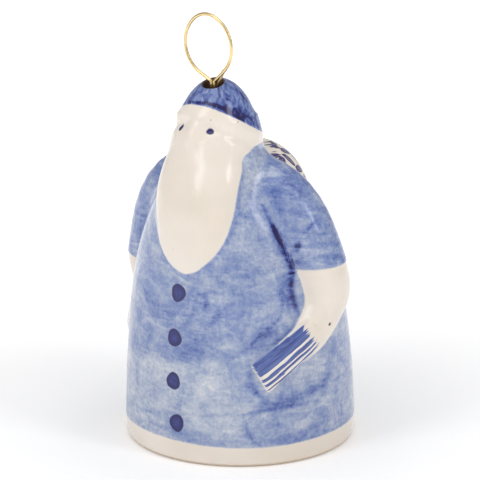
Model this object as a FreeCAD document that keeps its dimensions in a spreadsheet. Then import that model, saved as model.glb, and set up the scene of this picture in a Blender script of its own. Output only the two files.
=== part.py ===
import FreeCAD, Part

import math
import os

import Sketcher

# Hand-painted porcelain bell in the shape of a bearded figure.
# Millimetres. +Z is up, the figure faces -Y, its arms are at +X and -X.
# The origin is the centre of the foot ring, in the plane the bell stands on.

doc = FreeCAD.newDocument("porcelain_bell")
sheet = doc.addObject("Spreadsheet::Sheet", "sizes")

SIZES = {
    # slip-cast body
    "wall": 3.0,
    "body_height": 99.5,
    "head_radius": 11.5,
    "head_half_height": 18.5,
    "head_forward": 10.2,
    "crown_hole_diameter": 5.5,
    "crown_hole_forward": 12.2,
    "crown_thickness": 3.8,
    "beard_half_width": 12.5,
    "beard_half_depth": 11.3,
    "beard_half_height": 19.5,
    "beard_forward": 16.8,
    "beard_centre_height": 67.0,
    "beard_tilt": 12.0,
    "sack_half_width": 16.0,
    "sack_half_depth": 15.0,
    "sack_half_height": 19.0,
    "sack_back": 7.0,
    "sack_centre_height": 59.5,
    # flared bundle in the hand at +X
    "bundle_narrow_width": 6.4,
    "bundle_wide_width": 9.0,
    "bundle_thickness": 5.0,
    "bundle_heading": 27.0,
    "bundle_droop": 28.0,
    "bundle_length": 15.0,
    # wire parts
    "wire_diameter": 0.9,
    "strand_spacing": 1.0,
    "loop_lean": 8.9,
    "loop_length": 17.7,
    "loop_crown_radius": 5.9,
    "loop_crown_half_angle": 30.6,
    "loop_side_radius": 8.7,
    "leg_bend_radius": 0.9,
    "legs_below_top": 0.5,
    "tail_behind": 0.85,
    "tail_angle": 25.0,
    "tail_length": 5.6,
    "tail_below_top": 2.5,
    "eye_radius": 1.9,
    "link_radius": 2.3,
    "stem_eye_radius": 1.7,
    "link_gap": 0.1,
    # retainer under the crown
    "bead_radius": 4.1,
    "bead_bore_radius": 1.6,
    "bead_centre_height": 87.5,
    # clapper
    "ball_radius": 6.0,
    "ball_bore_radius": 0.65,
    "ball_centre_height": 26.0,
    "stop_radius": 1.3,
    "stop_length": 2.2,
    "stop_rim_round": 0.4,
    "stop_bore_radius": 0.5,
    "stem_end_past_stop": 0.6,
}

# Level round sections of the coat: height, radius, how far the centre sits forward.
COAT = [
    (0.0, 30.0, 0.0),
    (3.0, 30.5, 0.0),
    (11.0, 30.5, 0.0),
    (30.0, 29.1, 0.6),
    (45.0, 27.1, 1.6),
    (58.0, 23.3, 3.4),
    (68.0, 17.8, 5.9),
    (76.0, 11.6, 8.6),
    (83.0, 9.4, 9.6),
]

# Round sections of the arm at +X, from the shoulder inside the coat to the hand:
# how far to the side, how far forward, height and radius.
ARM = [
    (9.0, 4.5, 73.0, 6.4),
    (16.5, 3.4, 67.2, 8.0),
    (22.4, 2.9, 59.5, 7.8),
    (25.6, 1.7, 51.0, 7.2),
    (27.0, 1.2, 44.5, 6.7),
    (27.2, 8.4, 33.4, 4.4),
    (25.8, 11.8, 30.9, 3.4),
]


def fill_sheet():
    """Write every driving size into the sheet as a named cell."""
    rows = list(SIZES.items())
    for number, (height, radius, forward) in enumerate(COAT):
        rows.append((f"coat_height_{number}", height))
        rows.append((f"coat_radius_{number}", radius))
        rows.append((f"coat_forward_{number}", forward))
    for number, (side, forward, height, radius) in enumerate(ARM):
        rows.append((f"arm_side_{number}", side))
        rows.append((f"arm_forward_{number}", forward))
        rows.append((f"arm_height_{number}", height))
        rows.append((f"arm_radius_{number}", radius))
    for row, (alias, value) in enumerate(rows, start=1):
        sheet.set(f"A{row}", alias)
        sheet.set(f"B{row}", str(value))
        sheet.setAlias(f"B{row}", alias)
    doc.recompute()


def size(alias):
    """Read one driving size back from the sheet."""
    return float(sheet.get(alias))


def vec(x, y, z=0.0):
    return FreeCAD.Vector(x, y, z)


def origin_plane(body, role):
    return [item for item in body.Origin.OriginFeatures if item.Role == role][0]


def new_body(name):
    body = doc.addObject("PartDesign::Body", name)
    body.Label = name
    return body


def attach(body, item, role, offset=None):
    """Put a sketch or a primitive on one of its own body's origin planes."""
    item.AttachmentSupport = [(origin_plane(body, role), "")]
    item.MapMode = "FlatFace"
    if offset is not None:
        item.AttachmentOffset = offset
    return item


def new_sketch(body, name, role, offset=None):
    return attach(body, body.newObject("Sketcher::SketchObject", name), role, offset)


def circle_sketch(body, name, role, offset, radius_formula):
    """A sketch that holds one circle about its own origin."""
    sketch = new_sketch(body, name, role, offset)
    circle = sketch.addGeometry(Part.Circle(vec(0, 0), vec(0, 0, 1), 1.0))
    sketch.addConstraint(Sketcher.Constraint("Coincident", circle, 3, -1, 1))
    radius = sketch.addConstraint(Sketcher.Constraint("Radius", circle, 1.0))
    sketch.setExpression(f"Constraints[{radius}]", radius_formula)
    return sketch


def loft(body, kind, name, sketches):
    feature = body.newObject(kind, name)
    feature.Profile = sketches[0]
    feature.Sections = sketches[1:]
    return feature


def ellipsoid(body, kind, name, polar, across, deep, offset):
    """Ellipsoid primitive: polar radius along Z, then the radii along X and Y."""
    feature = attach(body, body.newObject(kind, name), "XY_Plane", offset)
    feature.Angle1 = -90
    feature.setExpression("Radius1", polar)
    feature.setExpression("Radius2", across)
    feature.setExpression("Radius3", deep)
    return feature


# ---------------------------------------------------------------- porcelain


def coat_sections(body, name, inset_formula):
    sketches = []
    for number in range(len(COAT)):
        offset = FreeCAD.Placement()
        offset.Base = vec(0, -size(f"coat_forward_{number}"), size(f"coat_height_{number}"))
        formula = f"sizes.coat_radius_{number} - {inset_formula}"
        sketches.append(circle_sketch(body, f"{name}_{number}", "XY_Plane", offset, formula))
    return sketches


def arm_sections(body, side):
    """Circles square to the arm's own line; side is 1 for +X and -1 for -X."""
    centres = []
    for number in range(len(ARM)):
        centres.append(vec(side * size(f"arm_side_{number}"),
                           -size(f"arm_forward_{number}"),
                           size(f"arm_height_{number}")))
    sketches = []
    for number, centre in enumerate(centres):
        before = centres[max(number - 1, 0)]
        after = centres[min(number + 1, len(centres) - 1)]
        down_arm = (after - before).normalize()
        across = vec(0, side, 0).cross(down_arm)
        turn = FreeCAD.Rotation(across, down_arm.cross(across), down_arm, "ZXY")
        offset = FreeCAD.Placement(centre, turn)
        name = f"arm_{'right' if side > 0 else 'left'}_{number}"
        formula = f"sizes.arm_radius_{number}"
        sketches.append(circle_sketch(body, name, "XY_Plane", offset, formula))
    return sketches


def rectangle_sketch(body, name, offset, width_formula, height_formula):
    """A sketch that holds one rectangle about its own origin."""
    sketch = new_sketch(body, name, "XY_Plane", offset)
    corners = [vec(-1, -1), vec(1, -1), vec(1, 1), vec(-1, 1)]
    for number in range(4):
        sketch.addGeometry(Part.LineSegment(corners[number], corners[(number + 1) % 4]))
    for number in range(4):
        sketch.addConstraint(Sketcher.Constraint("Coincident", number, 2, (number + 1) % 4, 1))
    for number, direction in enumerate(["Horizontal", "Vertical", "Horizontal", "Vertical"]):
        sketch.addConstraint(Sketcher.Constraint(direction, number))
    sketch.addConstraint(Sketcher.Constraint("Symmetric", 0, 1, 2, 1, -1, 1))
    width = sketch.addConstraint(Sketcher.Constraint("DistanceX", 0, 1, 0, 2, 2.0))
    sketch.setExpression(f"Constraints[{width}]", width_formula)
    height = sketch.addConstraint(Sketcher.Constraint("DistanceY", 1, 1, 1, 2, 2.0))
    sketch.setExpression(f"Constraints[{height}]", height_formula)
    return sketch


def bundle_sections(body):
    """Narrow end in the hand, wide end forward and down along the coat."""
    last = len(ARM) - 1
    hand = vec(size(f"arm_side_{last}"), -size(f"arm_forward_{last}"), size(f"arm_height_{last}"))
    heading = math.radians(size("bundle_heading"))
    droop = math.radians(size("bundle_droop"))
    along = vec(-math.sin(heading) * math.cos(droop),
                -math.cos(heading) * math.cos(droop),
                -math.sin(droop))
    outward = vec(math.cos(heading), -math.sin(heading), 0)
    turn = FreeCAD.Rotation(outward, along.cross(outward), along, "ZXY")
    narrow = rectangle_sketch(body, "bundle_narrow", FreeCAD.Placement(hand, turn),
                              "sizes.bundle_thickness", "sizes.bundle_narrow_width")
    far = hand + along * size("bundle_length")
    wide = rectangle_sketch(body, "bundle_wide", FreeCAD.Placement(far, turn),
                            "sizes.bundle_thickness", "sizes.bundle_wide_width")
    return [narrow, wide]


def build_porcelain_shell():
    body = new_body("porcelain_shell")
    loft(body, "PartDesign::AdditiveLoft", "coat", coat_sections(body, "coat_section", "0"))

    head_place = FreeCAD.Placement()
    head_place.Base = vec(0, -size("head_forward"), size("body_height") - size("head_half_height"))
    ellipsoid(body, "PartDesign::AdditiveEllipsoid", "head", "sizes.head_half_height",
              "sizes.head_radius", "sizes.head_radius", head_place)

    beard_place = FreeCAD.Placement(
        vec(0, -size("beard_forward"), size("beard_centre_height")),
        FreeCAD.Rotation(vec(1, 0, 0), -size("beard_tilt")))
    ellipsoid(body, "PartDesign::AdditiveEllipsoid", "beard", "sizes.beard_half_height",
              "sizes.beard_half_width", "sizes.beard_half_depth", beard_place)

    sack_place = FreeCAD.Placement()
    sack_place.Base = vec(0, size("sack_back"), size("sack_centre_height"))
    ellipsoid(body, "PartDesign::AdditiveEllipsoid", "sack", "sizes.sack_half_height",
              "sizes.sack_half_width", "sizes.sack_half_depth", sack_place)

    for side, name in ((1, "right"), (-1, "left")):
        loft(body, "PartDesign::AdditiveLoft", f"arm_{name}", arm_sections(body, side))
    loft(body, "PartDesign::AdditiveLoft", "bundle", bundle_sections(body))

    loft(body, "PartDesign::SubtractiveLoft", "coat_cavity",
         coat_sections(body, "cavity_section", "sizes.wall"))
    ellipsoid(body, "PartDesign::SubtractiveEllipsoid", "head_cavity",
              "sizes.head_half_height - sizes.crown_thickness",
              "sizes.head_radius - sizes.wall", "sizes.head_radius - sizes.wall", head_place)

    hole_place = FreeCAD.Placement()
    hole_place.Base = vec(0, -size("crown_hole_forward"), size("body_height"))
    hole = body.newObject("PartDesign::Pocket", "crown_hole")
    hole.Profile = circle_sketch(body, "crown_hole_circle", "XY_Plane", hole_place,
                                 "sizes.crown_hole_diameter / 2")
    hole.setExpression("Length", "2 * sizes.crown_thickness + 1")
    body.Tip = hole
    return body


# ---------------------------------------------------------------- wire parts


def plane_offset(behind_hole=0.0):
    """Offset that puts an XZ-plane sketch through the crown hole's middle."""
    offset = FreeCAD.Placement()
    offset.Base = vec(0, 0, size("crown_hole_forward") - behind_hole)
    return offset


def add_path(sketch, edges):
    """Add the edges in order and tie each one's end to the next one's start."""
    for edge in edges:
        sketch.addGeometry(edge)
    for number in range(len(edges) - 1):
        shared = min(((sketch.getPoint(number, a) - sketch.getPoint(number + 1, b)).Length, a, b)
                     for a in (1, 2) for b in (1, 2))
        sketch.addConstraint(
            Sketcher.Constraint("Coincident", number, shared[1], number + 1, shared[2]))
    for number in range(len(edges)):
        sketch.addConstraint(Sketcher.Constraint("Block", number))


def rounded_corner(before, corner, after, radius):
    """Tangent arc of the given radius in the corner, as its three points."""
    back = (before - corner).normalize()
    ahead = (after - corner).normalize()
    half = math.acos(max(-1.0, min(1.0, back.dot(ahead)))) / 2
    reach = radius / math.tan(half)
    middle_way = (back + ahead).normalize()
    middle = corner + middle_way * (radius / math.sin(half) - radius)
    return corner + back * reach, middle, corner + ahead * reach


def lower_eye_height():
    """Middle of the hanger's lower eye, which closes just under the bead."""
    half_height = math.sqrt(size("bead_radius") ** 2 - size("bead_bore_radius") ** 2)
    eye_outer = size("eye_radius") + size("wire_diameter") / 2
    return size("bead_centre_height") - half_height - size("link_gap") - eye_outer


def tangent_point(outside, centre, radius, side):
    """Where the line from a point outside touches a circle."""
    away = centre - outside
    angle = side * math.acos(radius / away.Length)
    back = (outside - centre).normalize() * radius
    turned = vec(back.x * math.cos(angle) - back.y * math.sin(angle),
                 back.x * math.sin(angle) + back.y * math.cos(angle))
    return centre + turned


def pipe(body, name, path_sketch, start, behind_hole=0.0):
    """Sweep the round wire along a path that starts vertically at start."""
    place = FreeCAD.Placement()
    place.Base = vec(start.x, -size("crown_hole_forward") + behind_hole, start.y)
    section = circle_sketch(body, f"{name}_section", "XY_Plane", place,
                            "sizes.wire_diameter / 2")
    feature = body.newObject("PartDesign::AdditivePipe", name)
    feature.Profile = section
    feature.Spine = path_sketch
    return feature


def torus(body, name, role, offset, radius_formula):
    feature = attach(body, body.newObject("PartDesign::AdditiveTorus", name), role, offset)
    feature.setExpression("Radius1", radius_formula)
    feature.setExpression("Radius2", "sizes.wire_diameter / 2")
    return feature


def loop_side(fork, crown_centre, up, side):
    """One side of the loop, as the three points of its arc from the leg to the crown arc."""
    angle = side * math.radians(size("loop_crown_half_angle"))
    out = vec(up.x * math.cos(angle) + up.y * math.sin(angle),
              up.y * math.cos(angle) - up.x * math.sin(angle))
    radius = size("loop_side_radius")
    join = crown_centre + out * size("loop_crown_radius")
    centre = join - out * radius
    touch = tangent_point(fork, centre, radius, side)
    middle = centre + ((touch + join) * 0.5 - centre).normalize() * radius
    return touch, middle, join


def build_hanger_loop():
    """One wire: an egg-shaped loop, two strands through the crown, a lower eye, a tail."""
    body = new_body("hanger_loop")
    half_gap = size("strand_spacing") / 2
    bend = size("leg_bend_radius")
    fork = size("body_height") - size("legs_below_top")
    lean = math.radians(size("loop_lean"))
    up = vec(-math.sin(lean), math.cos(lean))
    top = vec(0, fork) + up * size("loop_length")
    crown_centre = top - up * size("loop_crown_radius")
    strand_end = lower_eye_height() + size("eye_radius")

    left_fork = vec(-half_gap, fork)
    right_fork = vec(half_gap, fork)
    left_side = loop_side(left_fork, crown_centre, up, -1)
    right_side = loop_side(right_fork, crown_centre, up, 1)
    left_foot = vec(-half_gap, strand_end)
    right_foot = vec(half_gap, strand_end)
    left_bend = rounded_corner(left_foot, left_fork, left_side[0], bend)
    right_bend = rounded_corner(right_side[0], right_fork, right_foot, bend)
    path = new_sketch(body, "loop_path", "XZ_Plane", plane_offset())
    add_path(path, [
        Part.LineSegment(left_foot, left_bend[0]),
        Part.Arc(*left_bend),
        Part.LineSegment(left_bend[2], left_side[0]),
        Part.Arc(*left_side),
        Part.Arc(left_side[2], top, right_side[2]),
        Part.Arc(*reversed(right_side)),
        Part.LineSegment(right_side[0], right_bend[0]),
        Part.Arc(*right_bend),
        Part.LineSegment(right_bend[2], right_foot),
    ])
    pipe(body, "loop", path, left_foot)

    tail_angle = math.radians(size("tail_angle"))
    tail_fork = vec(half_gap, size("body_height") - size("tail_below_top"))
    tail_end = tail_fork + vec(math.sin(tail_angle), math.cos(tail_angle)) * size("tail_length")
    tail_bend = rounded_corner(right_foot, tail_fork, tail_end, bend)
    behind = size("tail_behind")
    tail_path = new_sketch(body, "tail_path", "XZ_Plane", plane_offset(behind))
    add_path(tail_path, [
        Part.LineSegment(right_foot, tail_bend[0]),
        Part.Arc(*tail_bend),
        Part.LineSegment(tail_bend[2], tail_end),
    ])
    pipe(body, "tail", tail_path, right_foot, behind)

    eye_place = plane_offset()
    eye_place.Base.y = lower_eye_height()
    eye = torus(body, "lower_eye", "XZ_Plane", eye_place, "sizes.eye_radius")
    body.Tip = eye
    return body


def eye_pin_height():
    """Middle of the wire at the bottom of the hanger's lower eye."""
    return lower_eye_height() - size("eye_radius")


def link_centre_height():
    """The link hangs from the lower eye, wire over wire."""
    return eye_pin_height() + size("wire_diameter") + size("link_gap") - size("link_radius")


def link_bottom_height():
    return link_centre_height() - size("link_radius")


def stem_eye_height():
    """The clapper's eye hangs from the link, wire over wire."""
    return (link_bottom_height() + size("wire_diameter") + size("link_gap")
            - size("stem_eye_radius"))


def build_link_ring():
    body = new_body("link_ring")
    place = FreeCAD.Placement()
    place.Base = vec(-size("crown_hole_forward"), link_centre_height(), 0)
    ring = torus(body, "ring", "YZ_Plane", place, "sizes.link_radius")
    body.Tip = ring
    return body


def build_clapper_stem():
    body = new_body("clapper_stem")
    eye_place = plane_offset()
    eye_place.Base.y = stem_eye_height()
    torus(body, "stem_eye", "XZ_Plane", eye_place, "sizes.stem_eye_radius")
    top = stem_eye_height() - size("stem_eye_radius")
    rod_place = FreeCAD.Placement()
    rod_place.Base = vec(0, -size("crown_hole_forward"), stem_bottom_height())
    section = circle_sketch(body, "rod_circle", "XY_Plane", rod_place, "sizes.wire_diameter / 2")
    rod = body.newObject("PartDesign::Pad", "rod")
    rod.Profile = section
    rod.Length = top - stem_bottom_height()
    body.Tip = rod
    return body


# ---------------------------------------------------------------- beads


def turned_bead(name, height, radius_alias, bore_alias):
    """A round bead with a straight bore, turned about its own vertical axis."""
    body = new_body(name)
    radius = size(radius_alias)
    bore = size(bore_alias)
    rim = math.sqrt(radius ** 2 - bore ** 2)
    sketch = new_sketch(body, f"{name}_outline", "XZ_Plane")
    add_path(sketch, [
        Part.LineSegment(vec(bore, -rim), vec(bore, rim)),
        Part.Arc(vec(bore, rim), vec(radius, 0), vec(bore, -rim)),
    ])
    turn = body.newObject("PartDesign::Revolution", f"{name}_turned")
    turn.Profile = sketch
    turn.ReferenceAxis = (sketch, ["V_Axis"])
    turn.Angle = 360
    body.Tip = turn
    body.Placement.Base = vec(0, -size("crown_hole_forward"), height)
    return body


def stop_top_height():
    rim = math.sqrt(size("ball_radius") ** 2 - size("ball_bore_radius") ** 2)
    return size("ball_centre_height") - rim - size("link_gap") / 4


def stem_bottom_height():
    return stop_top_height() - size("stop_length") - size("stem_end_past_stop")


def build_clapper_stop():
    """Short crimped tube that holds the ball on the stem."""
    body = new_body("clapper_stop")
    pad = body.newObject("PartDesign::Pad", "tube")
    pad.Profile = circle_sketch(body, "tube_circle", "XY_Plane", FreeCAD.Placement(),
                                "sizes.stop_radius")
    pad.setExpression("Length", "sizes.stop_length")
    doc.recompute()
    rims = [f"Edge{n}" for n, edge in enumerate(pad.Shape.Edges, start=1)
            if isinstance(edge.Curve, Part.Circle)]
    rounding = body.newObject("PartDesign::Fillet", "crimped_rims")
    rounding.Base = (pad, rims)
    rounding.setExpression("Radius", "sizes.stop_rim_round")
    bore = body.newObject("PartDesign::Pocket", "bore")
    bore.Profile = circle_sketch(body, "bore_circle", "XY_Plane", FreeCAD.Placement(),
                                 "sizes.stop_bore_radius")
    bore.Type = "ThroughAll"
    bore.Reversed = True
    body.Tip = bore
    body.Placement.Base = vec(0, -size("crown_hole_forward"),
                              stop_top_height() - size("stop_length"))
    return body


def check(bodies):
    """Stop if any feature failed or any sub-part isn't one sound solid."""
    for item in doc.Objects:
        for word in ("Invalid", "Error"):
            if word in item.State:
                raise RuntimeError(f"{item.Label}: {item.State}")
    for body in bodies:
        shape = body.Shape
        if shape.isNull() or not shape.isValid() or len(shape.Solids) != 1:
            raise RuntimeError(f"{body.Label} is not one valid solid")
        box = shape.optimalBoundingBox()
        print(f"{body.Label}: {shape.Volume:.1f} mm3, "
              f"X {box.XMin:.2f} {box.XMax:.2f}, Y {box.YMin:.2f} {box.YMax:.2f}, "
              f"Z {box.ZMin:.2f} {box.ZMax:.2f}")


def main():
    fill_sheet()
    bodies = [
        build_porcelain_shell(),
        build_hanger_loop(),
        turned_bead("retainer_bead", size("bead_centre_height"), "bead_radius",
                    "bead_bore_radius"),
        build_link_ring(),
        build_clapper_stem(),
        turned_bead("clapper_ball", size("ball_centre_height"), "ball_radius",
                    "ball_bore_radius"),
        build_clapper_stop(),
    ]
    doc.recompute()
    check(bodies)
    print(f"link pivot Z {eye_pin_height():.3f}, stem pivot Z {link_bottom_height():.3f}")
    os.makedirs("parts", exist_ok=True)
    for body in bodies:
        body.Shape.exportStep(f"parts/{body.Label}.step")


main()
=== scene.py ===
"""Glazed porcelain bell in the shape of a bearded figure, painted in blue wash, on a brass loop."""
import math
import bpy
import numpy as np
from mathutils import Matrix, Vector


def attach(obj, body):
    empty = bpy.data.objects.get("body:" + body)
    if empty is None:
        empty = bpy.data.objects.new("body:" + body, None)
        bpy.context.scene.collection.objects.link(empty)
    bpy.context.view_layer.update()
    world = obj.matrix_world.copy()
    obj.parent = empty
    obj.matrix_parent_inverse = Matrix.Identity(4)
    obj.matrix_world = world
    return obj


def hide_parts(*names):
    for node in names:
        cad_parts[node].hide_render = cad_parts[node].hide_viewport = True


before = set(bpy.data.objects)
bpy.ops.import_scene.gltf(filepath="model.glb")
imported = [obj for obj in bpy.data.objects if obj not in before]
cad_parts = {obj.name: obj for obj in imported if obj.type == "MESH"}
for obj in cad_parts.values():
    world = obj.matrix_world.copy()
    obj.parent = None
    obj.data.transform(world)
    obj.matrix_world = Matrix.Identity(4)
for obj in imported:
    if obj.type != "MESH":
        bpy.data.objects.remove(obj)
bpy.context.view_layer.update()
MM = 0.001


# ---- Curves and implicit shapes, in millimetres, with the figure facing -Y ----

def smooth_curve(knots):
    """Natural cubic spline through (position, value) knots, level beyond its ends."""
    at = np.array([knot[0] for knot in knots], float)
    values = np.array([knot[1] for knot in knots], float)
    count = len(at)
    gap = np.diff(at)
    slope = np.diff(values) / gap
    rows = np.eye(count)
    right = np.zeros(count)
    for i in range(1, count - 1):
        rows[i, i - 1:i + 2] = gap[i - 1], 2 * (gap[i - 1] + gap[i]), gap[i]
        right[i] = 6 * (slope[i] - slope[i - 1])
    bend = np.linalg.solve(rows, right)

    def curve(x):
        x = np.clip(x, at[0], at[-1])
        i = np.clip(np.searchsorted(at, x) - 1, 0, count - 2)
        after, before = x - at[i], at[i + 1] - x
        cubic = (bend[i] * before ** 3 + bend[i + 1] * after ** 3) / (6 * gap[i])
        start = (values[i] / gap[i] - bend[i] * gap[i] / 6) * before
        end = (values[i + 1] / gap[i] - bend[i + 1] * gap[i] / 6) * after
        return cubic + start + end
    return curve


def smooth_path(points, count):
    """A smooth line through a few points, sampled at an even step of its parameter."""
    steps = range(len(points))
    curves = [smooth_curve([(i, points[i][axis]) for i in steps]) for axis in range(len(points[0]))]
    at = np.linspace(0, len(points) - 1, count)
    return np.stack([curve(at) for curve in curves], 1)


def ease(x):
    """Smooth step from 0 to 1 as x goes from -0.5 to 0.5."""
    x = np.clip(x + 0.5, 0, 1)
    return x * x * (3 - 2 * x)


def blend_min(a, b, width):
    share = np.clip(0.5 + 0.5 * (b - a) / width, 0, 1)
    return b * (1 - share) + a * share - width * share * (1 - share)


def blend_max(a, b, width):
    return -blend_min(-a, -b, width)


def ellipsoid(p, centre, radii):
    q = (p - np.array(centre)) / np.array(radii)
    near = np.linalg.norm(q, axis=1)
    steep = np.linalg.norm(q / np.array(radii), axis=1) + 1e-9
    return near * (near - 1) / steep


def capsule(p, start, end, start_radius, end_radius):
    start = np.array(start)
    line = np.array(end) - start
    along = np.clip((p - start) @ line / (line @ line), 0, 1)
    away = np.linalg.norm(p - start - along[:, None] * line, axis=1)
    return away - start_radius - (end_radius - start_radius) * along


def unit(vector):
    vector = np.array(vector, float)
    return vector / np.linalg.norm(vector)


# ---- The figure ----

COAT_TOP = 83.0
COAT_SIDE = smooth_curve([(-4, 29.4), (0, 30.0), (3, 30.5), (11, 30.5), (20, 30.1), (30, 29.1),
                          (38, 28.2), (45, 27.0), (52, 25.4), (58, 23.2), (65, 19.9), (71, 15.8),
                          (77, 11.6), (83, 9.4)])
COAT_DEEP = smooth_curve([(-4, 29.4), (0, 30.0), (3, 30.5), (11, 30.5), (20, 30.1), (30, 29.4),
                          (38, 28.6), (45, 27.4), (52, 25.5), (58, 23.3), (65, 20.0), (71, 16.2),
                          (77, 12.2), (83, 10.2)])
COAT_FORWARD = smooth_curve([(0, 0), (11, 0), (20, 0.2), (30, 0.6), (45, 1.6), (58, 3.4),
                             (68, 5.9), (76, 8.6), (83, 9.6)])
HEAD = (0, -10.2, 81.0)
HEAD_RADII = (11.25, 11.25, 18.5)
BEARD_MIDDLE = smooth_curve([(49, 2.0), (56, 1.6), (62, 0.9), (70, 0.5), (90, 0)])
BEARD_SIDE = smooth_curve([(49, 2.0), (51, 4.4), (54.5, 7.8), (60, 10.6), (67, 12.3), (73, 12.4),
                           (79, 11.3), (84, 9.6), (90, 7.6)])
BEARD_DEEP = smooth_curve([(49, 4.0), (52, 7.0), (57, 9.4), (62, 10.7), (68, 11.5), (74, 11.8),
                           (80, 11.2), (84, 10.3), (90, 8.6)])
BEARD_FORWARD = smooth_curve([(49, 21.6), (52, 20.7), (57, 19.2), (62, 17.8), (68, 16.3),
                              (74, 14.5), (80, 12.4), (84, 10.9), (90, 9.9)])
BEARD_TIP = 50.6
ARM = smooth_path([(8.0, -5.0, 73.0, 6.0), (13.6, -3.6, 69.6, 7.4), (19.3, -3.3, 64.2, 8.0),
                   (23.2, -2.8, 57.8, 7.8), (25.7, -1.8, 51.7, 7.3), (27.0, -1.2, 47.2, 7.1),
                   (27.5, -1.4, 43.8, 6.7), (27.6, -2.9, 40.2, 5.9), (27.4, -5.3, 37.0, 5.5),
                   (27.2, -8.2, 34.0, 4.9), (26.6, -11.0, 32.0, 4.3)], 26)
CUFF = np.array([25.9, -1.5, 52.0])
CUFF_WAY = unit((0.06, 0.03, -1.0))
CUFF_STEP = 0.3
FAR_HAND_IN = 2.6
FAR_ARM_DOWN = 3.2
BUNDLE_START = np.array([29.7, -11.1, 34.6])
BUNDLE_LINE = np.array([21.1, -21.1, 24.3]) - BUNDLE_START
BUNDLE_LENGTH = float(np.linalg.norm(BUNDLE_LINE))
BUNDLE_ALONG = unit(BUNDLE_LINE)
BUNDLE_SKEW = 0.15
BUNDLE_OUT = unit(np.array([0.85, -0.53, 0.0]) - BUNDLE_ALONG * (BUNDLE_ALONG @ (0.85, -0.53, 0.0)))
BUNDLE_UP = np.cross(BUNDLE_OUT, BUNDLE_ALONG)
BUNDLE_UP = BUNDLE_UP * np.sign(BUNDLE_UP[2])
SACK = (0, 6.8, 60.2)
SACK_RADII = (15.6, 14.8, 19.2)
EYE_MIDDLE = -0.3
HOLE = np.array([0, -12.2])
HOLE_RADIUS = 2.7
HOLE_ROUND = 0.45
WALL = 3.0


def coat(p):
    z = p[:, 2]
    side, deep = COAT_SIDE(z), COAT_DEEP(z)
    ring = np.hypot(p[:, 0] / side, (p[:, 1] + COAT_FORWARD(z)) / deep)
    return np.maximum((ring - 1) * np.minimum(side, deep), z - COAT_TOP)


def head(p):
    return np.maximum(ellipsoid(p, HEAD, HEAD_RADII), 66 - p[:, 2])


def beard(p):
    z = p[:, 2]
    side = np.maximum(BEARD_SIDE(z), 0.5)
    deep = np.maximum(BEARD_DEEP(z), 0.5)
    square = 2.5
    x = np.abs(p[:, 0] - BEARD_MIDDLE(z)) / side
    y = np.abs(p[:, 1] + BEARD_FORWARD(z)) / deep
    ring = (x ** square + y ** square) ** (1 / square)
    below_tip = 0.6 * np.maximum(BEARD_TIP - z, 0)
    return np.maximum((ring - 1) * np.minimum(side, deep) + below_tip, z - 88)


def near_side(p):
    """Points with both arms folded onto +X; the far arm hangs lower, with its hand closer in."""
    q = p.copy()
    far = p[:, 0] < 0
    tuck = FAR_HAND_IN * ease((40 - p[:, 2]) / 12)
    q[:, 0] = np.abs(p[:, 0]) + np.where(far, tuck, 0)
    q[:, 2] = p[:, 2] + np.where(far, FAR_ARM_DOWN * ease((62 - p[:, 2]) / 24), 0)
    return q


def past_cuff(p):
    return (near_side(p) - CUFF) @ CUFF_WAY - np.where(p[:, 0] < 0, 3.3, 0)


def arm(p):
    away = np.full(len(p), 30.0)
    reach = np.where((np.abs(p[:, 0]) > 1) & (p[:, 2] > 20) & (p[:, 2] < 88))[0]
    if len(reach) == 0:
        return away
    q = near_side(p[reach])
    nearest = None
    for start, end in zip(ARM[:-1], ARM[1:]):
        piece = capsule(q, start[:3], end[:3], start[3], end[3])
        nearest = piece if nearest is None else blend_min(nearest, piece, 0.5)
    away[reach] = nearest - CUFF_STEP * ease(-past_cuff(p[reach]) / 0.7)
    return away


def bundle_place(p):
    """Distances along, up across and out from the bundle's middle line."""
    from_start = p - BUNDLE_START
    return from_start @ BUNDLE_ALONG, from_start @ BUNDLE_UP, from_start @ BUNDLE_OUT


def bundle_half(along):
    return 3.3 + 0.9 * np.clip(along / BUNDLE_LENGTH, -0.2, 1.2)


def bundle(p):
    along, up, out = bundle_place(p)
    half = bundle_half(along)
    ridge = 0.1 * np.cos(8.5 * up / half)
    face = out - 2.1 - ridge + 0.01 * (along - 0.5 * BUNDLE_LENGTH) ** 2
    body = blend_max(np.abs(up) - half, face, 1.2)
    cut = np.abs(along + BUNDLE_SKEW * up - BUNDLE_LENGTH / 2 + 1.5) - BUNDLE_LENGTH / 2 - 1.5
    return blend_max(np.maximum(body, -out - 5), cut, 0.7)


def sack(p):
    return ellipsoid(p, SACK, SACK_RADII)


def crease_height(p):
    """Height of the fold under the fur band, low at the sides and high over the nose."""
    return 83.3 - 0.64 * np.minimum(p[:, 1] + 11, 3)


def face(p, away):
    """Fur band with its fold, soft eye hollows and the bridge of the nose."""
    up = p[:, 2] - crease_height(p)
    front = ease((-p[:, 1] - 4) / 8)
    away = away + front * (0.55 * np.exp(-(up / 1.7) ** 2) - 0.3 * np.exp(-((up - 4.2) / 2.6) ** 2))
    across = (np.abs(p[:, 0] - EYE_MIDDLE) - 4.6) / 2.2
    away = away + 0.55 * front * np.exp(-across ** 2 - ((p[:, 2] - 88.2) / 1.9) ** 2)
    nose = np.exp(-((p[:, 0] - EYE_MIDDLE) / 1.9) ** 2 - ((p[:, 2] - 86.8) / 3.6) ** 2)
    return away - 0.75 * front * nose


def body_core(p):
    away = blend_min(coat(p), head(p), 2.5)
    return blend_min(away, beard(p), 1.8 + 2.2 * ease((p[:, 2] - 80) / 8))


def figure(p):
    away = face(p, body_core(p))
    away = blend_min(away, arm(p), 1.2 + 2.8 * ease((p[:, 2] - 63) / 12))
    away = blend_min(away, bundle(p), 0.7)
    return blend_min(away, sack(p), 1.2)


# ---- The mesh: rings of points found on the shape along rays ----

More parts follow.
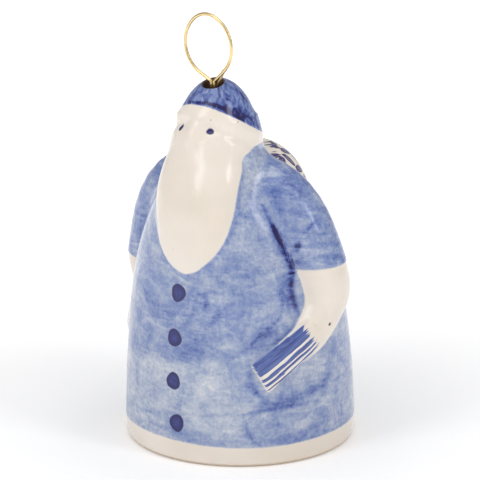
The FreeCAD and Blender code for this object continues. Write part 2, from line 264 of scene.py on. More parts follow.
COLUMNS = 312
RAY_TURNS = 70
RAY_ERROR = 0.004
FAST_TURNS = 25
FAST_SHARE = 0.75
SLOW_SHARE = 0.4
HOLE_STEPS = 5
BORE_FOOT = 95.2
BODY_RINGS = 170
HEAD_RINGS = 62
INNER_RINGS = 44
FOOT_ROUND = 1.1
INNER_ROUND = 0.8
FOOT_STEPS = 6
RAY_START = 46.0


def turn_angles():
    """Angles of the columns about the axis, closer together at the front."""
    even = np.arange(COLUMNS) * 2 * math.pi / COLUMNS
    return even - 0.2 * np.sin(even)


def ring_target(height, turn, radius, middle):
    return np.stack([middle[0] + radius * np.sin(turn), middle[1] - radius * np.cos(turn),
                     np.full(len(turn), height)], 1)


def body_rays(turn, low, high, rings):
    """Level rays from the leaning spine."""
    heights = np.linspace(low, high, rings)
    starts, ways = [], []
    for height in heights:
        spine = (0, -float(COAT_FORWARD(np.array([height]))[0]))
        start = ring_target(height, turn, 0, spine)
        starts.append(start)
        ways.append(ring_target(height, turn, 1, spine) - start)
    return np.concatenate(starts), np.concatenate(ways)


def head_rays(turn, rings, rim):
    """Rays from inside the head that close in on the hole in the crown."""
    centre = np.array(HEAD)
    top = math.acos(rim / HEAD_RADII[0])
    starts, ways = [], []
    for step in range(1, rings + 1):
        rise = top * step / rings
        share = ease(step / rings - 0.5)
        middle = (HOLE[0] * share, centre[1] + (HOLE[1] - centre[1]) * share)
        height = centre[2] + HEAD_RADII[2] * math.sin(rise)
        target = ring_target(height, turn, HEAD_RADII[0] * math.cos(rise), middle)
        starts.append(np.tile(centre, (len(turn), 1)))
        ways.append((target - centre) / np.linalg.norm(target - centre, axis=1)[:, None])
    return np.concatenate(starts), np.concatenate(ways)


def find_surface(shape, starts, ways):
    """The outermost point of the shape on each ray."""
    far = np.full(len(starts), RAY_START)
    for turn in range(RAY_TURNS):
        away = shape(starts + ways * far[:, None])
        far = far - (FAST_SHARE if turn < FAST_TURNS else SLOW_SHARE) * away
        if np.abs(away).max() < RAY_ERROR:
            break
    return starts + ways * far[:, None]


def foot_rings(wall_ring, radius, outward):
    """Rounds a wall's lowest ring down onto the floor."""
    middle = wall_ring[:, :2].mean(axis=0)
    rings = []
    for step in range(1, FOOT_STEPS + 1):
        angle = 0.5 * math.pi * step / FOOT_STEPS
        level = wall_ring.copy()
        from_middle = wall_ring[:, :2] - middle
        length = np.linalg.norm(from_middle, axis=1)[:, None]
        inset = radius * (1 - math.cos(angle)) * outward
        level[:, :2] = middle + from_middle * (1 - inset / length)
        level[:, 2] = radius * (1 - math.sin(angle))
        rings.append(level)
    return rings


def crown_hole(rim_ring):
    """Rounds the crown into the hole and runs down its bore."""
    edge = np.array([HOLE[0], HOLE[1], 0.0])
    out = rim_ring - edge
    out[:, 2] = 0
    out = out / np.linalg.norm(out, axis=1)[:, None]
    rings = []
    for step in range(1, HOLE_STEPS + 1):
        angle = 0.5 * math.pi * step / HOLE_STEPS
        radius = HOLE_RADIUS + HOLE_ROUND * (1 - math.sin(angle))
        level = edge + out * radius
        level[:, 2] = rim_ring[:, 2] - HOLE_ROUND * (1 - math.cos(angle))
        rings.append(level)
    bore_top = rings[-1]
    for share in (0.35, 0.7, 1.0):
        level = bore_top.copy()
        level[:, 2] += (BORE_FOOT - level[:, 2]) * share
        rings.append(level)
    return rings


def inner_shape(p):
    return body_core(p) + WALL


def as_rings(points):
    return list(points.reshape(-1, COLUMNS, 3))


def figure_rings():
    """All rings of the shell: up the outside, down the bore and the inside, and round the foot."""
    turn = turn_angles()
    out_body = find_surface(figure, *body_rays(turn, FOOT_ROUND, HEAD[2], BODY_RINGS))
    out_head = find_surface(figure, *head_rays(turn, HEAD_RINGS, HOLE_RADIUS + HOLE_ROUND))
    in_head = find_surface(inner_shape, *head_rays(turn, INNER_RINGS // 3, HOLE_RADIUS + 0.6))
    in_body = find_surface(inner_shape, *body_rays(turn, INNER_ROUND, HEAD[2], INNER_RINGS))
    outer = as_rings(out_body) + as_rings(out_head)
    outer = foot_rings(outer[0], FOOT_ROUND, 1)[::-1] + outer
    inner = as_rings(in_head)[::-1] + as_rings(in_body)[::-1]
    inner += foot_rings(inner[-1], INNER_ROUND, -1)
    return outer, crown_hole(outer[-1]) + inner


def ring_mesh(name, rings):
    """A closed skin through the rings, each ring joined to the next and the last to the first."""
    count = len(rings)
    ring = np.arange(count)[:, None]
    column = np.arange(COLUMNS)[None, :]
    after = (column + 1) % COLUMNS
    above = (ring + 1) % count
    faces = np.stack([ring * COLUMNS + column, ring * COLUMNS + after,
                      above * COLUMNS + after, above * COLUMNS + column], 2).reshape(-1, 4)
    mesh = bpy.data.meshes.new(name)
    mesh.from_pydata((np.concatenate(rings) * MM).tolist(), [], faces.tolist())
    mesh.shade_smooth()
    mesh.update()
    return mesh


# ---- The paint: distances and amounts worked out on the surface ----

BEARD_AXIS = -8.0
BEARD_ARC_RADIUS = 19.0
# Way round the front and height of the white beard's edge, found in the same way as STROKES.
BEARD_OUTLINE = smooth_path([(2.2, 51.3), (3.9, 51.8), (5.8, 52.9), (9.2, 56.3), (12.0, 60.3), (13.9, 65.0),
                             (15.2, 69.4), (16.6, 74.4), (18.6, 78.6), (22.6, 82.0), (27.0, 84.0),
                             (-27.0, 84.0), (-22.6, 82.0), (-18.2, 78.6), (-15.9, 74.4), (-13.9, 69.4),
                             (-12.0, 65.0), (-9.4, 60.6), (-6.4, 56.6), (-2.6, 53.4), (0.2, 51.9),
                             (2.2, 51.3)], 84)
FACE_FOOT = 82.9
HEM_WAVES = ((5.2, 0.0), (0.55, 1.0), (0.35, 2.6))
BUTTONS = ((0.7, -29.0, 46.0), (0.1, -30.0, 33.9), (-0.1, -30.4, 22.1), (1.1, -30.6, 10.8))
BUTTON_RADIUS = 2.2
EYES = ((4.3, -19.6, 87.7, 1.02, 0.8), (-5.0, -19.5, 87.5, 0.8, 1.4))


def beard_gap(p):
    """How far inside the painted edge of the beard, with the front rolled out flat."""
    flat = BEARD_ARC_RADIUS * np.arctan2(p[:, 0], BEARD_AXIS - p[:, 1])
    z = p[:, 2]
    best = np.full(len(p), 99.0)
    inside = np.zeros(len(p), bool)
    for start, end in zip(BEARD_OUTLINE[:-1], BEARD_OUTLINE[1:]):
        across, up = end - start
        from_start = flat - start[0], z - start[1]
        share = (from_start[0] * across + from_start[1] * up) / max(across ** 2 + up ** 2, 1e-9)
        share = share.clip(0, 1)
        best = np.minimum(best, np.hypot(from_start[0] - share * across, from_start[1] - share * up))
        level = (start[1] > z) != (end[1] > z)
        inside ^= level & (from_start[0] < from_start[1] * across / (up if up else 1e-9))
    return np.where(inside, best, -best)


def cap_gap(p):
    """How far above the slanting edge of the blue cap."""
    back = p[:, 1] + 18.7
    edge = 94.0 - 0.6 * back + 0.004 * back ** 2 - 0.01 * p[:, 0] ** 2
    return (p[:, 2] - edge) / math.hypot(1, 0.55)


def hem_height(p):
    turn = np.arctan2(p[:, 0], -p[:, 1])
    return (HEM_WAVES[0][0] + HEM_WAVES[1][0] * np.sin(turn + HEM_WAVES[1][1])
            + HEM_WAVES[2][0] * np.sin(3 * turn + HEM_WAVES[2][1]))


def wash_gap(p):
    """How far inside the painted coat and sleeves: positive in the blue, negative on bare glaze."""
    core = body_core(p)
    limb = np.minimum(arm(p), core)
    on_arm = core - arm(p)
    bare_arm = np.minimum(on_arm, past_cuff(p))
    gap = np.minimum(-beard_gap(p), FACE_FOOT - p[:, 2])
    gap = np.minimum(gap, p[:, 2] - hem_height(p))
    gap = np.minimum(gap, -bare_arm)
    gap = np.minimum(gap, bundle(p) - limb)
    return np.minimum(gap, sack(p) - limb)


def path_gap(p, points, half_width, count=40):
    """Distance outside a tapering brush stroke along a smooth path."""
    path = smooth_path(points, count)
    taper = np.sin(np.linspace(0.12, math.pi - 0.12, count)) ** 0.6
    gap = np.full(len(p), 99.0)
    low, high = path.min(axis=0) - 6, path.max(axis=0) + 6
    near = np.where(((p > low) & (p < high)).all(axis=1))[0]
    q = p[near]
    best = np.full(len(q), 99.0)
    for spot, share in zip(path, taper):
        best = np.minimum(best, np.linalg.norm(q - spot, axis=1) - half_width * share)
    gap[near] = best
    return gap


# Each stroke: amount of pigment, half width, softness of its edge, and the points it runs through. The
# crease strokes and the two strokes past the end of the bundle also carry painted shade.
# The points were picked on the photograph and carried onto the figure along the camera's rays.
STROKES = (
    # The first five strokes: pigment pooled in the crease under the near arm, darkened towards navy as
    # painted shade of the undercut at the inner elbow.
    (0.42, 0.40, 1.6, ((16.3, -13.4, 68.7), (18.1, -13.3, 65.7), (19.9, -12.7, 62.4),
                       (21.7, -12.0, 58.2))),
    (0.72, 0.50, 2.3, ((19.4, -12.9, 63.4), (21.7, -12.0, 58.2), (23.5, -11.0, 53.9),
                       (24.6, -10.4, 50.6))),
    (0.30, 1.40, 3.6, ((19.4, -13.4, 63.0), (21.6, -12.6, 58.0), (23.4, -11.9, 53.0),
                       (24.3, -11.6, 48.0))),
    (0.62, 0.60, 2.3, ((24.2, -11.0, 54.0), (24.5, -11.8, 47.5), (25.3, -11.6, 43.4),
                       (26.4, -11.2, 40.0))),
    (0.30, 1.50, 3.2, ((23.0, -13.0, 50.5), (23.6, -13.8, 46.0), (24.8, -13.3, 41.0))),
    (0.22, 0.45, 1.2, ((22.7, -15.7, 47.4), (23.5, -15.1, 44.7), (24.0, -15.3, 41.5),
                       (23.3, -17.0, 39.1), (21.1, -20.2, 36.3), (18.4, -23.2, 32.5),
                       (15.0, -25.9, 29.5))),
    (0.22, 0.60, 1.6, ((25.8, -12.4, 39.8), (25.5, -13.7, 36.5), (23.0, -18.1, 33.4))),
    (0.18, 2.40, 3.6, ((23.5, -16.0, 42.0), (22.0, -19.0, 37.5), (19.5, -22.0, 33.5))),
    # These two strokes: dark wash on the wide end of the bundle and a painted shadow on the coat just past
    # it and below it.
    (0.30, 0.60, 1.8, ((18.3, -23.9, 31.7), (19.4, -23.2, 26.9), (19.4, -23.5, 22.8),
                       (21.3, -21.6, 19.6))),
    (0.36, 0.70, 1.5, ((20.0, -22.9, 23.2), (21.4, -21.6, 20.0), (22.9, -20.2, 18.4))),
    (0.30, 0.45, 1.3, ((18.3, -24.3, 14.7), (21.8, -21.3, 15.6), (26.4, -15.0, 16.1),
                       (29.6, -6.8, 15.9))),
    (0.24, 0.40, 1.1, ((18.3, -24.3, 14.7), (19.0, -23.9, 10.6), (20.5, -22.8, 7.2),
                       (22.0, -21.6, 5.9))),
    (0.26, 1.50, 3.4, ((20.5, -22.4, 17.2), (25.0, -17.2, 17.6), (29.2, -8.5, 18.6),
                       (30.6, -2.0, 21.5))),
    (0.22, 1.60, 3.6, ((30.9, -4.0, 20.0), (31.0, -1.5, 25.0), (30.6, 1.0, 30.0))),
    (0.34, 0.30, 0.9, ((30.4, 3.4, 12.8), (30.5, 3.6, 10.0), (30.6, 3.7, 7.4))),
    (0.14, 0.45, 1.4, ((-17.5, -25.0, 11.0), (-9.0, -29.0, 11.6), (-1.0, -30.5, 13.3),
                       (6.0, -29.8, 14.0))),
    (0.14, 0.40, 1.3, ((5.0, -29.9, 13.2), (11.0, -28.3, 14.2), (18.0, -24.5, 14.9))),
    (0.13, 0.50, 1.5, ((-14.5, -27.0, 8.2), (-5.0, -30.2, 8.6), (6.0, -29.9, 8.8),
                       (16.0, -26.1, 9.0))),
    (0.26, 0.70, 1.8, ((6.4, -28.0, 46.9), (8.6, -27.6, 45.2), (8.2, -28.1, 42.6))),
    (0.16, 0.35, 1.2, ((13.6, -26.2, 40.6), (14.8, -25.8, 38.4), (14.6, -26.2, 35.5))),
    (0.13, 0.50, 1.6, ((12.0, -26.6, 42.5), (10.6, -27.6, 39.5), (8.5, -28.7, 37.0))),
    (0.45, 0.90, 1.0, ((25.0, -10.7, 57.0), (25.5, -10.6, 58.3), (25.9, -10.3, 59.5))),
    (0.24, 0.45, 1.3, ((26.4, -9.5, 61.2), (27.2, -9.1, 62.7), (28.1, -7.3, 64.1),
                       (28.2, -4.9, 66.2))),
    (0.22, 0.45, 1.2, ((24.7, -10.6, 52.9), (25.8, -10.3, 54.0), (27.0, -10.0, 55.6))),
    (0.10, 1.60, 3.5, ((11.5, -26.2, 53.5), (15.8, -23.2, 52.0), (19.0, -19.8, 48.0),
                       (20.2, -19.0, 43.0))),
    (0.14, 0.50, 1.3, ((10.9, -8.5, 82.0), (12.0, -7.0, 80.6), (14.2, -6.0, 78.6),
                       (17.0, -5.5, 76.5))),
    # Pigment along the crease under the far arm, partly painted shade of that crease.
    (0.30, 0.60, 1.8, ((-20.2, -12.4, 62.0), (-22.6, -11.6, 56.5), (-24.9, -10.6, 51.0),
                       (-26.0, -10.6, 45.5))),
    (0.80, 0.40, 0.9, ((-5.4, -17.2, 93.6), (-2.2, -18.0, 94.5), (1.3, -18.2, 94.8), (4.2, -17.2, 94.3),
                       (6.7, -15.9, 93.2), (8.6, -14.6, 91.7), (10.0, -12.4, 90.0))),
    (0.35, 1.10, 2.0, ((6.0, -16.0, 94.4), (8.2, -14.3, 92.8), (9.8, -12.0, 91.0),
                       (10.7, -9.0, 89.0))),
    (0.40, 0.28, 0.8, ((4.7, -13.5, 96.7), (5.4, -13.2, 96.1), (6.0, -12.7, 95.6))),
    (0.30, 0.30, 0.8, ((5.6, -14.2, 95.6), (6.3, -13.7, 95.0))),
    (0.22, 0.50, 1.4, ((3.9, -11.0, 98.0), (6.4, -9.4, 96.2), (8.0, -7.6, 94.0))),
    (0.25, 0.45, 1.5, ((10.4, -9.6, 88.6), (10.4, -5.6, 86.9), (9.6, -2.4, 85.6))),
)

# Flowers of grey-violet petals on the sack: side position, way over the back, and twist.
FLOWERS = ((7.8, 0.4, 0.5), (-6.5, 2.5, 1.1), (1.0, 11.0, 0.2), (12.0, 12.0, 0.8), (-11.0, 12.6, 0.4),
           (6.4, 21.0, 0.0), (-5.2, 22.0, 0.9), (0.6, 30.0, 0.6))
PETALS_EACH = 6
PETAL_OFFSET = 3.4
PETAL_HALF = (2.2, 1.05)


def petal_gap(p):
    """How far inside the nearest petal, with the sack rolled out over its back."""
    place = (p - np.array(SACK)) / np.array(SACK_RADII)
    latitude = np.arctan2(place[:, 0], np.hypot(place[:, 1], place[:, 2]))
    over = (SACK_RADII[1] + SACK_RADII[2]) / 2 * np.arctan2(place[:, 1], place[:, 2])
    sideways = SACK_RADII[0] * latitude
    best = np.full(len(p), -9.0)
    for side, back, twist in FLOWERS:
        for petal in range(PETALS_EACH):
            angle = twist + 2 * math.pi * petal / PETALS_EACH
            x = sideways - side - PETAL_OFFSET * math.cos(angle)
            y = (over - back) * np.cos(latitude) - PETAL_OFFSET * math.sin(angle)
            along = x * math.cos(angle) + y * math.sin(angle)
            across = y * math.cos(angle) - x * math.sin(angle)
            inside = (1 - np.hypot(along / PETAL_HALF[0], across / PETAL_HALF[1])) * PETAL_HALF[1]
            best = np.maximum(best, inside)
    return np.minimum(best, np.minimum(arm(p), body_core(p)) - sack(p) - 0.4)


def dab_gap(p):
    """How far inside a button or an eye."""
    best = np.full(len(p), -9.0)
    for number, button in enumerate(BUTTONS):
        away = p - np.array(button)
        turn = np.arctan2(away[:, 2], away[:, 0])
        radius = BUTTON_RADIUS * (1 + 0.05 * np.sin(3 * turn + 1.3 * number + 1.1))
        best = np.maximum(best, radius - np.hypot(away[:, 0], 0.92 * away[:, 2]) - 9 * (away[:, 1] > 9))
    for x, y, z, wide, tall in EYES:
        away = p - np.array((x, y, z))
        drop = 1 + 0.25 * away[:, 2] / tall
        ring = np.hypot(np.hypot(away[:, 0], away[:, 1]) / wide, away[:, 2] / (tall * drop.clip(0.6, 1.4)))
        best = np.maximum(best, (1 - ring) * min(wide, tall))
    return best


SPECKS = ((4.1, -18.9, 90.7, 0.18), (9.5, -14.5, 90.0, 0.2), (-1.1, -28.6, 57.5, 0.24),
          (32.9, -6.4, 37.5, 0.5), (29.3, -8.2, 50.3, 0.18), (13.5, -7.0, 78.0, 0.2),
          (-20.0, 22.0, 40.0, 0.3), (8.0, 29.0, 14.0, 0.3))


def speck_gap(p):
    best = np.full(len(p), -9.0)
    for x, y, z, radius in SPECKS:
        best = np.maximum(best, radius - np.linalg.norm(p - np.array((x, y, z)), axis=1) + 0.25)
    return best


def pigment_and_painted_shade(p):
    """Extra pigment in the strokes, along the edge of the beard and in the broad darker washes; some
    strokes are painted shade in the arm creases and a painted shadow past the end of the bundle.
    """
    pool = np.zeros(len(p))
    for amount, half_width, soft, points in STROKES:
        pool = pool + amount * ease(-path_gap(p, points, half_width) / soft)
    beard_edge = -beard_gap(p)
    pool = pool + 0.13 * np.exp(-((beard_edge - 0.8) / 1.0) ** 2) * ease((79 - p[:, 2]) / 5)
    turn = np.arctan2(p[:, 0], -p[:, 1])
    low_band = ease((p[:, 2] - 27.5 - 5 * np.sin(turn)) / 2.4)
    front = ease((0.75 - np.abs(turn - 0.05)) / 0.8)
    pool = pool + front * (0.10 * low_band * ease((52 - p[:, 2]) / 14) - 0.07 * (1 - low_band))
    pool = pool + 0.16 * ease((body_core(p) - arm(p) - 0.5) / 2)
    side = ease((0.5 - np.abs(turn - 1.35)) / 0.7) * ease((32 - p[:, 2]) / 10)
    pool = pool + 0.06 * side
    hem = p[:, 2] - hem_height(p)
    return pool + 0.05 * np.exp(-((hem - 1.4) / 1.2) ** 2)


def brush_place(p):
    """Coordinates for the brush marks: round the body, and along the arms where they show."""
    turn = np.arctan2(p[:, 0], -(p[:, 1] + COAT_FORWARD(p[:, 2])))
    on_arm = ease((body_core(p) - arm(p)) / 2)
    folded = near_side(p)
    round_arm = folded[:, 1] * 0.9 + 0.2 * folded[:, 2]
    return 28 * turn * (1 - on_arm) + round_arm * on_arm


def paint(mesh, outer_count):
    """Stores the paint's distances and amounts on the mesh, for the material to read."""
    points = np.empty(len(mesh.vertices) * 3, np.float32)
    mesh.vertices.foreach_get("co", points)
    points = points.reshape(-1, 3).astype(float) / MM
    p = points[:outer_count]
    along, up, out = bundle_place(p)
    layers = {
        "wash": wash_gap(p), "cap": cap_gap(p), "pool": pigment_and_painted_shade(p), "dab": dab_gap(p),
        "petal": petal_gap(p), "speck": speck_gap(p), "brush": brush_place(p),
        "reed": out, "reed_along": along / BUNDLE_LENGTH,
        "reed_end": (along + BUNDLE_SKEW * up) / BUNDLE_LENGTH,
        "reed_up": up / bundle_half(along), "glazed": np.ones(len(p))}
    bare = {"glazed": 0.0, "brush": 0.0, "reed_along": 0.0, "reed_end": 0.0, "reed_up": 0.0, "pool": 0.0}
    for name, values in layers.items():
        full = np.full(len(points), bare.get(name, -9.0), np.float32)
        full[:outer_count] = values
        layer = mesh.attributes.new(name, "FLOAT", "POINT")
        layer.data.foreach_set("value", full)


# ---- Materials ----

class Nodes:
    """Builds a node material; numbers go on a node's own sockets and nodes are linked."""

    def __init__(self, name):
        self.material = bpy.data.materials.new(name)
        self.material.use_nodes = True
        self.tree = self.material.node_tree
        self.tree.nodes.clear()

    def add(self, kind, inputs=None, **settings):
        node = self.tree.nodes.new("ShaderNode" + kind)
        for key, value in settings.items():
            setattr(node, key, value)
        for key, value in (inputs or {}).items():
            self.put(node.inputs[key], value)
        return node

    def put(self, socket, value):
        if isinstance(value, bpy.types.NodeSocket):
            self.tree.links.new(value, socket)
        else:
            socket.default_value = value

    def math(self, operation, a, b=0.5, clamp=False):
        node = self.add("Math", {0: a, 1: b}, operation=operation, use_clamp=clamp)
        return node.outputs[0]

    def attribute(self, name):
        return self.add("Attribute", attribute_name=name).outputs["Fac"]

    def step(self, value, edge, width):
        """0 below the edge and 1 above it, over a width."""
        inputs = {"Value": value, "From Min": edge - width / 2, "From Max": edge + width / 2}
        return self.add("MapRange", inputs, interpolation_type="SMOOTHSTEP").outputs["Result"]

    def scale(self, value, low, high, new_low, new_high):
        inputs = {"Value": value, "From Min": low, "From Max": high, "To Min": new_low,
                  "To Max": new_high}
        return self.add("MapRange", inputs).outputs["Result"]

    def noise(self, vector, scale, detail=3.0, rough=0.55, warp=0.0):
        inputs = {"Vector": vector, "Scale": scale, "Detail": detail, "Roughness": rough,
                  "Distortion": warp}
        return self.add("TexNoise", inputs).outputs["Fac"]

    def stretch(self, vector, scales, turn=(0, 0, 0)):
        return self.add("Mapping", {"Vector": vector, "Scale": scales, "Rotation": turn}).outputs[0]

    def mix(self, factor, a, b):
        node = self.add("Mix", data_type="RGBA")
        self.put(node.inputs["Factor"], factor)
        self.put(node.inputs[6], a)
        self.put(node.inputs[7], b)
        return node.outputs[2]

    def ramp(self, value, stops):
        node = self.add("ValToRGB", {"Fac": value})
        elements = node.color_ramp.elements
        while len(elements) < len(stops):
            elements.new(0.5)
        for element, (at, colour) in zip(elements, stops):
            element.position = at
            element.color = colour
        return node.outputs["Color"]

    def bump(self, height, strength, distance):
        inputs = {"Height": height, "Strength": strength, "Distance": distance}
        return self.add("Bump", inputs).outputs["Normal"]

    def finish(self, **inputs):
        sockets = {key.replace("_", " ").capitalize(): value for key, value in inputs.items()}
        shader = self.add("BsdfPrincipled")
        names = {socket.name.lower(): socket for socket in shader.inputs}
        for key, value in sockets.items():
            self.put(names[key.lower()], value)
        output = self.add("OutputMaterial")
        self.tree.links.new(shader.outputs[0], output.inputs["Surface"])
        return self.material


def srgb(red, green, blue):
    """A colour given as 0-255 screen values, in the linear values that shaders use."""
    def linear(value):
        value = value / 255
        return value / 12.92 if value <= 0.04045 else ((value + 0.055) / 1.055) ** 2.4
    return linear(red), linear(green), linear(blue), 1.0


GLAZE = srgb(236, 227, 217)
GLAZE_WARM = srgb(228, 217, 203)
BISQUE = srgb(205, 187, 166)
PIGMENT_STOPS = ((0.0, srgb(222, 219, 218)), (0.16, srgb(188, 195, 208)), (0.34, srgb(156, 167, 194)),
                 (0.52, srgb(122, 139, 184)), (0.72, srgb(80, 99, 162)), (0.88, srgb(48, 55, 122)),
                 (1.0, srgb(32, 28, 80)))


WHITE, BLACK = (1, 1, 1, 1), (0, 0, 0, 1)
TWIG_STOPS = ((0.03, BLACK), (0.06, WHITE), (0.10, WHITE), (0.13, BLACK), (0.19, BLACK), (0.22, WHITE),
              (0.29, WHITE), (0.32, BLACK), (0.37, BLACK), (0.40, WHITE), (0.50, WHITE), (0.54, BLACK),
              (0.60, BLACK), (0.63, WHITE), (1.0, WHITE))


def painted_porcelain():
    """White glaze with the blue wash, cap, strokes, buttons, eyes and petals under it."""
    n = Nodes("painted_porcelain")
    place = n.add("TexCoord").outputs["Object"]
    metre = n.stretch(place, (1000.0, 1000.0, 1000.0))
    height = n.add("SeparateXYZ", {0: metre}).outputs["Z"]
    marks = n.add("CombineXYZ", {0: n.attribute("brush"), 1: height, 2: 0.0}).outputs[0]
    fine = n.noise(metre, 1.15, 2.5, 0.75)
    cloud = n.noise(metre, 0.095, 3.0, 0.62, 1.0)
    down_marks = n.noise(n.stretch(marks, (0.9, 0.22, 1.0), (0, 0, 0.12)), 1.0, 2.0, 0.5, 0.8)
    cross_marks = n.noise(n.stretch(marks, (0.13, 0.36, 1.0), (0, 0, 0.85)), 1.0, 2.5, 0.55, 1.6)
    ragged = n.math("MULTIPLY", n.math("SUBTRACT", n.noise(metre, 0.9, 3.0), 0.5), 1.1)

    # The coat's wash: a base, clouds, brush marks both ways and a fine grain.
    wash_inside = n.math("ADD", n.attribute("wash"), n.math("MULTIPLY", ragged, 0.3))
    wash = n.step(wash_inside, 0.05, 0.7)
    tone = n.math("ADD", n.scale(cloud, 0.3, 0.7, 0.17, 0.50), n.scale(down_marks, 0.3, 0.7, -0.03, 0.03))
    tone = n.math("ADD", tone, n.scale(cross_marks, 0.3, 0.7, -0.08, 0.09))
    tone = n.math("ADD", tone, n.scale(fine, 0.3, 0.7, -0.09, 0.10))
    pool = n.math("MULTIPLY", n.attribute("pool"), n.scale(cross_marks, 0.3, 0.7, 0.75, 1.25))
    coat_tone = n.math("MULTIPLY", n.math("ADD", tone, pool), wash)

    # The cap is brushed more thickly.
    cap_inside = n.math("ADD", n.attribute("cap"), n.math("MULTIPLY", ragged, 0.2))
    cap = n.step(cap_inside, 0.0, 0.45)
    cap_grain = n.scale(fine, 0.3, 0.7, -0.08, 0.08)
    cap_tone = n.math("ADD", n.scale(cross_marks, 0.3, 0.7, 0.40, 0.86), cap_grain)
    cap_tone = n.math("MULTIPLY", n.math("ADD", cap_tone, pool), cap)

    # Twigs in the hand: long ragged strokes with bare glaze between them.
    along, up = n.attribute("reed_along"), n.attribute("reed_up")
    lines = n.add("CombineXYZ", {0: along, 1: up, 2: 0.0}).outputs[0]
    hair = n.noise(n.stretch(lines, (1.1, 9.0, 1.0)), 1.0, 3.0, 0.6)
    wander = n.noise(n.stretch(lines, (1.6, 2.0, 1.0)), 1.0, 2.0)
    across = n.math("ADD", n.scale(up, -1.0, 1.0, 0.0, 1.0), n.scale(wander, 0.3, 0.7, -0.04, 0.04))
    bare_lines = n.ramp(across, TWIG_STOPS)
    solid = n.math("ADD", bare_lines, n.scale(hair, 0.3, 0.7, -0.55, 0.45))
    ends = n.math("ADD", along, n.scale(hair, 0.3, 0.7, -0.07, 0.07))
    far_end = n.math("ADD", n.attribute("reed_end"), n.scale(hair, 0.3, 0.7, -0.03, 0.03))
    inside_ends = n.math("MULTIPLY", n.step(ends, -0.03, 0.05),
                         n.math("SUBTRACT", 1.0, n.step(far_end, 1.0, 0.04)))
    within = n.math("MULTIPLY", n.step(n.attribute("reed"), -0.6, 0.8), inside_ends)
    reed_tone = n.math("MULTIPLY", n.step(solid, 0.5, 0.25), within)
    reed_tone = n.math("MULTIPLY", reed_tone, n.scale(hair, 0.3, 0.7, 0.55, 0.9))

    tone = n.math("MAXIMUM", n.math("ADD", coat_tone, cap_tone), reed_tone)
    painted = n.math("MAXIMUM", n.math("MAXIMUM", wash, cap), n.step(reed_tone, 0.1, 0.2))
    glaze = n.mix(n.scale(n.noise(metre, 0.05, 2.0), 0.35, 0.65, 0.0, 1.0), GLAZE, GLAZE_WARM)
    colour = n.mix(painted, glaze, n.ramp(tone, PIGMENT_STOPS))

    # Buttons and eyes: a dark rim and a slightly thinner middle.
    dab = n.attribute("dab")
    dab_edge = n.math("ADD", dab, n.math("MULTIPLY", ragged, 0.25))
    thin = n.math("MULTIPLY", n.step(dab, 1.0, 1.3), n.scale(fine, 0.35, 0.65, 0.25, 1.0))
    dab_colour = n.mix(thin, srgb(38, 36, 98), srgb(52, 66, 136))
    colour = n.mix(n.step(dab_edge, 0.0, 0.3), colour, dab_colour)

    # Petals: a grey-violet fill inside a darker line.
    petal = n.math("ADD", n.attribute("petal"), n.math("MULTIPLY", ragged, 0.2))
    petal_colour = n.mix(n.step(petal, 0.34, 0.2), srgb(60, 57, 104), srgb(108, 104, 140))
    colour = n.mix(n.step(petal, 0.0, 0.22), colour, petal_colour)
    colour = n.mix(n.step(n.attribute("speck"), 0.25, 0.3), colour, srgb(92, 66, 60))

    # The foot's edge and the inside are bare clay; the bore and the top of the inside are painted dark
    # brown as painted shade in the hole.
    glaze_edge = n.math("ADD", height, n.math("MULTIPLY", ragged, 0.3))
    bare_foot = n.math("SUBTRACT", 1.0, n.step(glaze_edge, 0.75, 0.7))
    bare = n.math("MAXIMUM", bare_foot, n.math("SUBTRACT", 1.0, n.step(n.attribute("glazed"), 0.5, 0.3)))
    clay = n.mix(fine, BISQUE, srgb(190, 170, 148))
    # Dark brown above 88 mm is painted shade down the bore and inside the head.
    clay = n.mix(n.step(height, 88.0, 14.0), clay, srgb(84, 62, 50))
    colour = n.mix(bare, colour, clay)
    roughness = n.math("ADD", n.scale(bare, 0.0, 1.0, 0.14, 0.7), n.scale(cloud, 0.3, 0.7, 0.0, 0.05))
    wave = n.math("ADD", n.noise(metre, 0.22, 2.0), n.math("MULTIPLY", n.noise(metre, 2.2, 2.0), 0.05))
    normal = n.bump(wave, 0.25, 0.0005)
    return n.finish(base_color=colour, roughness=roughness, normal=normal, ior=1.5,
                    subsurface_weight=0.08, subsurface_scale=0.002)


def glazed_ball():
    n = Nodes("glazed_ball")
    place = n.add("TexCoord").outputs["Object"]
    spots = n.noise(place, 900.0, 3.0)
    cloud = n.noise(place, 160.0, 2.0)
    colour = n.mix(n.scale(cloud, 0.35, 0.65, 0.0, 1.0), GLAZE, GLAZE_WARM)
    colour = n.mix(n.step(spots, 0.72, 0.04), colour, srgb(150, 120, 96))
    normal = n.bump(n.noise(place, 260.0, 2.0), 0.2, 0.0003)
    return n.finish(base_color=colour, roughness=n.scale(cloud, 0.3, 0.7, 0.12, 0.2), normal=normal)


def brass(name, bright, dull, rough):
    """Drawn brass with fine marks along it and a little tarnish."""
    n = Nodes(name)
    place = n.add("TexCoord").outputs["Object"]
    cloud = n.noise(place, 260.0, 3.0, 0.55)
    marks = n.noise(n.stretch(place, (3000.0, 3000.0, 700.0)), 1.0, 3.0, 0.6)
    worn = n.scale(n.math("ADD", cloud, n.math("MULTIPLY", marks, 0.2)), 0.45, 0.95, 0.0, 0.8)
    colour = n.mix(worn, bright, dull)
    roughness = n.scale(cloud, 0.3, 0.7, rough, rough + 0.14)
    normal = n.bump(marks, 0.05, 0.00005)
    return n.finish(base_color=colour, metallic=1.0, roughness=roughness, normal=normal)


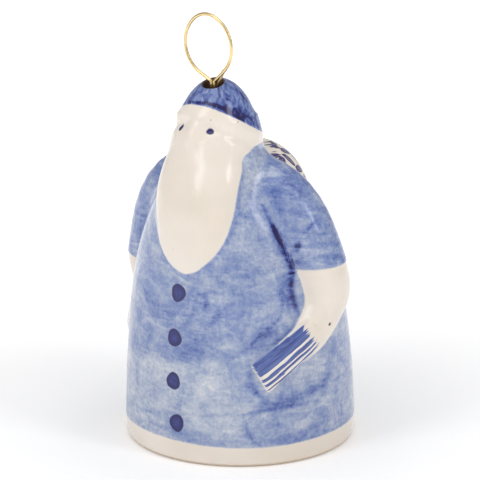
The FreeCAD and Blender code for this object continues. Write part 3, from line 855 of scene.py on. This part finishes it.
def bead_wood():
    n = Nodes("bead_wood")
    place = n.add("TexCoord").outputs["Object"]
    grain = n.noise(n.stretch(place, (900.0, 900.0, 120.0)), 1.0, 5.0, 0.65, 0.4)
    pores = n.noise(n.stretch(place, (5200.0, 5200.0, 600.0)), 1.0, 2.0)
    colour = n.ramp(grain, ((0.3, srgb(196, 160, 112)), (0.5, srgb(172, 132, 86)),
                            (0.68, srgb(140, 100, 62))))
    colour = n.mix(n.step(pores, 0.68, 0.08), colour, srgb(104, 72, 44))
    normal = n.bump(grain, 0.4, 0.0002)
    return n.finish(base_color=colour, roughness=n.scale(grain, 0.3, 0.7, 0.45, 0.62), normal=normal)


def studio_floor_paper():
    n = Nodes("studio_paper")
    place = n.add("TexCoord").outputs["Object"]
    colour = n.mix(n.noise(place, 300.0, 3.0), srgb(250, 250, 251), srgb(245, 245, 246))
    distance = n.add("VectorMath", {0: place}, operation="LENGTH").outputs["Value"]
    return n.finish(base_color=colour, roughness=0.9, emission_color=(1.0, 1.0, 1.0, 1.0),
                    emission_strength=n.scale(distance, 0.045, 0.3, 0.14, 0.6))


# ---- Building the pieces ----

def add_object(name, data):
    thing = bpy.data.objects.new(name, data)
    bpy.context.scene.collection.objects.link(thing)
    return thing


def set_material(thing, material):
    for slot in thing.material_slots:
        slot.material = material
    if not thing.material_slots:
        thing.data.materials.append(material)


def build_figure():
    outer, inner = figure_rings()
    mesh = ring_mesh("porcelain_figure", outer + inner)
    paint(mesh, len(outer) * COLUMNS)
    mesh.materials.append(painted_porcelain())
    thing = add_object("porcelain_figure", mesh)
    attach(thing, "bell")
    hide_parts("porcelain_shell")


def finish_fittings():
    wire = brass("brass_wire", srgb(236, 214, 160), srgb(205, 172, 118), 0.24)
    tube = brass("brass_tube", srgb(214, 186, 128), srgb(170, 134, 84), 0.3)
    finishes = {"hanger_loop": wire, "link_ring": wire, "clapper_stem": wire, "clapper_stop": tube,
                "retainer_bead": bead_wood(), "clapper_ball": glazed_ball()}
    for name, material in finishes.items():
        set_material(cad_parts[name], material)


# ---- The studio ----

VIEW_TURN = math.radians(35)
VIEW_DISTANCE = 0.9
VIEW_HEIGHT = 0.3276
LOOK_HEIGHT = 0.053
LENS = 266.2


def aim(thing, target):
    way = Vector(target) - thing.location
    thing.rotation_euler = way.to_track_quat("-Z", "Y").to_euler()


def add_camera():
    camera = add_object("camera", bpy.data.cameras.new("camera"))
    camera.data.lens = LENS
    camera.data.sensor_width = 36.0
    camera.data.clip_start = 0.02
    camera.location = (VIEW_DISTANCE * math.sin(VIEW_TURN), -VIEW_DISTANCE * math.cos(VIEW_TURN),
                       VIEW_HEIGHT)
    aim(camera, (0, 0, LOOK_HEIGHT))
    bpy.context.scene.camera = camera


def add_softbox(name, turn, distance, height, size, power, target):
    light = add_object(name, bpy.data.lights.new(name, "AREA"))
    light.data.shape = "RECTANGLE"
    light.data.size, light.data.size_y = size
    light.data.energy = power
    angle = math.radians(turn)
    light.location = (distance * math.sin(angle), -distance * math.cos(angle), height)
    aim(light, target)


def add_studio():
    world = bpy.data.worlds.new("studio")
    world.use_nodes = True
    background = world.node_tree.nodes["Background"]
    background.inputs["Color"].default_value = (1.0, 1.0, 1.0, 1.0)
    background.inputs["Strength"].default_value = 0.47
    bpy.context.scene.world = world
    bpy.context.scene.view_settings.view_transform = "Standard"
    mesh = bpy.data.meshes.new("studio_floor")
    reach = 2.5
    mesh.from_pydata([(-reach, -reach, 0), (reach, -reach, 0), (reach, reach, 0), (-reach, reach, 0)],
                     [], [(0, 1, 2, 3)])
    mesh.materials.append(studio_floor_paper())
    add_object("studio_floor", mesh)
    middle = (0, 0, 0.06)
    add_softbox("key_softbox", -12, 0.75, 0.62, (0.3, 0.7), 2.0, middle)
    add_softbox("side_strip", 88, 0.7, 0.55, (0.2, 0.5), 1.3, middle)
    add_softbox("top_softbox", 35, 0.1, 0.95, (0.7, 0.7), 2.2, middle)


build_figure()
finish_fittings()
add_camera()
add_studio()
